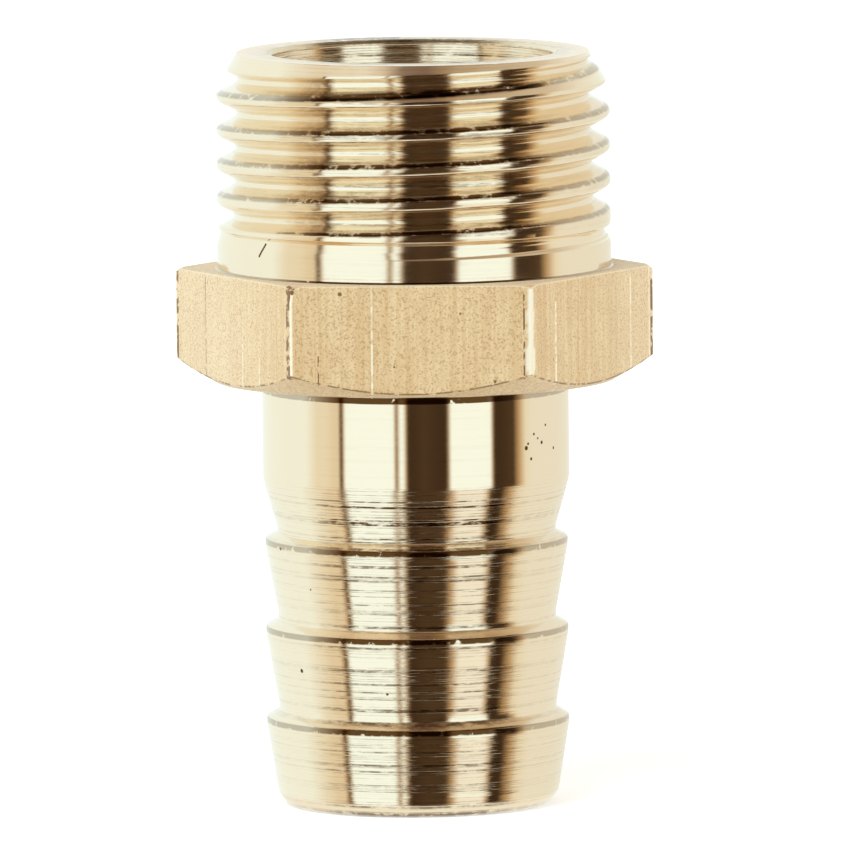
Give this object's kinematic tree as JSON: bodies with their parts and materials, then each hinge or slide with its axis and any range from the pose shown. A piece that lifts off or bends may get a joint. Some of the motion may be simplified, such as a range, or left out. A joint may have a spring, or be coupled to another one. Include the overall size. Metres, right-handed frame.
{
  "type": "hose barb tail",
  "caption": "Straight hose tail turned from hexagonal brass bar: a tapered pipe thread, a spanner hexagon and a barbed stem for a push-on hose, on one stepped bore.",
  "frame": {"origin": "centre of the hose end's face, on the bore's axis", "axes": "+Z along the bore's axis towards the threaded end; one pair of the hexagon's flats faces +Y and -Y"},
  "size_m": [0.0254, 0.022, 0.0402],
  "materials": {
    "brass": "bright turned brass, with the drawn bar's matte skin left on the hexagon's flats"
  },
  "bodies": {
    "root": {"hose_tail": "brass"}
  },
  "joints": []
}
